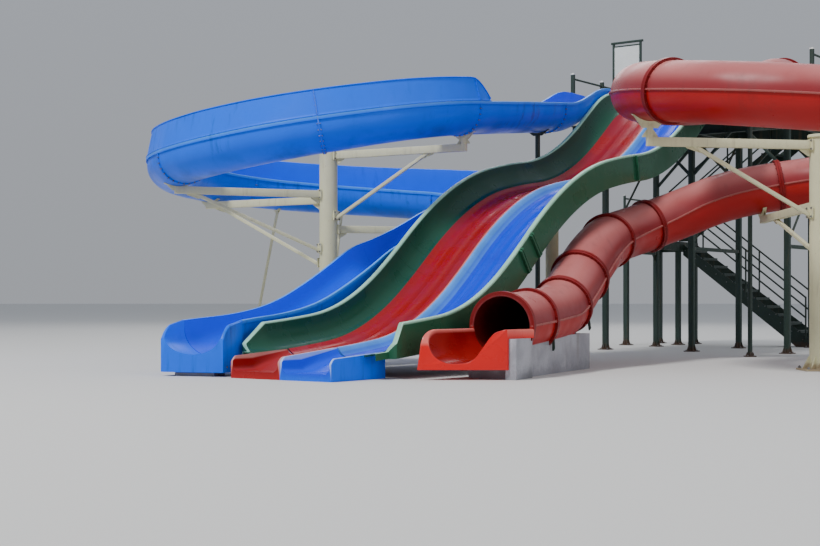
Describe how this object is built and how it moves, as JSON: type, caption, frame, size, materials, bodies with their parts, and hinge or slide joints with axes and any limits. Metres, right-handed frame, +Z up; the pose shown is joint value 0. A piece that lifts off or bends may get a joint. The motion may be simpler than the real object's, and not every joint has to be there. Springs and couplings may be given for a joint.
{
  "type": "water slide tower",
  "caption": "Pool-side tower with an open spiral flume, a racing slide with side-by-side lanes and a closed spiral tube, on masts and a raised deck.",
  "frame": {"origin": "centre of the underside of the open flume mast's base plate, at ground level", "axes": "+X along the pool edge towards the tube, +Y away from the pool, +Z up"},
  "size_m": [15.8493, 17.6515, 7.2303],
  "materials": {
    "blue_shell": "glossy blue gel coat on fibreglass, sun-bleached outside",
    "red_shell": "glossy red gel coat on fibreglass, faded on top",
    "green_shell": "glossy dark green gel coat with chalky pale rims",
    "cream_paint": "cream paint on steel tube",
    "green_paint": "dark green paint on steel section",
    "concrete": null,
    "board": "blank matt white notice board"
  },
  "bodies": {
    "root": {"deck_floor": "cream_paint", "tower_frame": "green_paint", "guard_rail_left": "green_paint", "guard_rail_right": "green_paint", "stair_lower_flight": "green_paint", "stair_upper_flight": "green_paint", "stair_landing": "green_paint", "top_landing": "green_paint", "notice_board": "board", "lane_red_upper": "red_shell", "lane_blue_upper": "blue_shell", "wall_left_upper": "green_shell", "wall_right_upper": "green_shell", "lane_red_lower": "red_shell", "lane_blue_lower": "blue_shell", "wall_left_lower": "green_shell", "wall_right_lower": "green_shell", "tray_red": "red_shell", "tray_blue": "blue_shell", "race_mast_upper": "cream_paint", "race_mast_lower": "cream_paint", "open_flume_1": "blue_shell", "open_flume_2": "blue_shell", "open_flume_3": "blue_shell", "open_flume_4": "blue_shell", "open_flume_5": "blue_shell", "open_flume_6": "blue_shell", "open_flume_7": "blue_shell", "open_flume_8": "blue_shell", "open_flume_9": "blue_shell", "open_exit": "blue_shell", "open_exit_foot": "concrete", "splash_guard_front": "blue_shell", "splash_guard_back": "blue_shell", "open_mast": "cream_paint", "open_arm_right": "cream_paint", "open_arm_front_left": "cream_paint", "open_arm_back_left": "cream_paint", "open_arm_lower_right": "cream_paint", "open_leg_back_left": "cream_paint", "open_leg_back_right": "cream_paint", "open_post_start": "green_paint", "open_post_run": "cream_paint", "tube_1": "red_shell", "tube_2": "red_shell", "tube_3": "red_shell", "tube_4": "red_shell", "tube_5": "red_shell", "tube_6": "red_shell", "tube_7": "red_shell", "tube_8": "red_shell", "tube_9": "red_shell", "tube_exit_tray": "red_shell", "tube_plinth": "concrete", "tube_mast": "cream_paint", "tube_arm_left": "cream_paint", "tube_arm_right": "cream_paint", "tube_arm_back": "cream_paint", "tube_post_deck": "green_paint"}
  },
  "joints": []
}
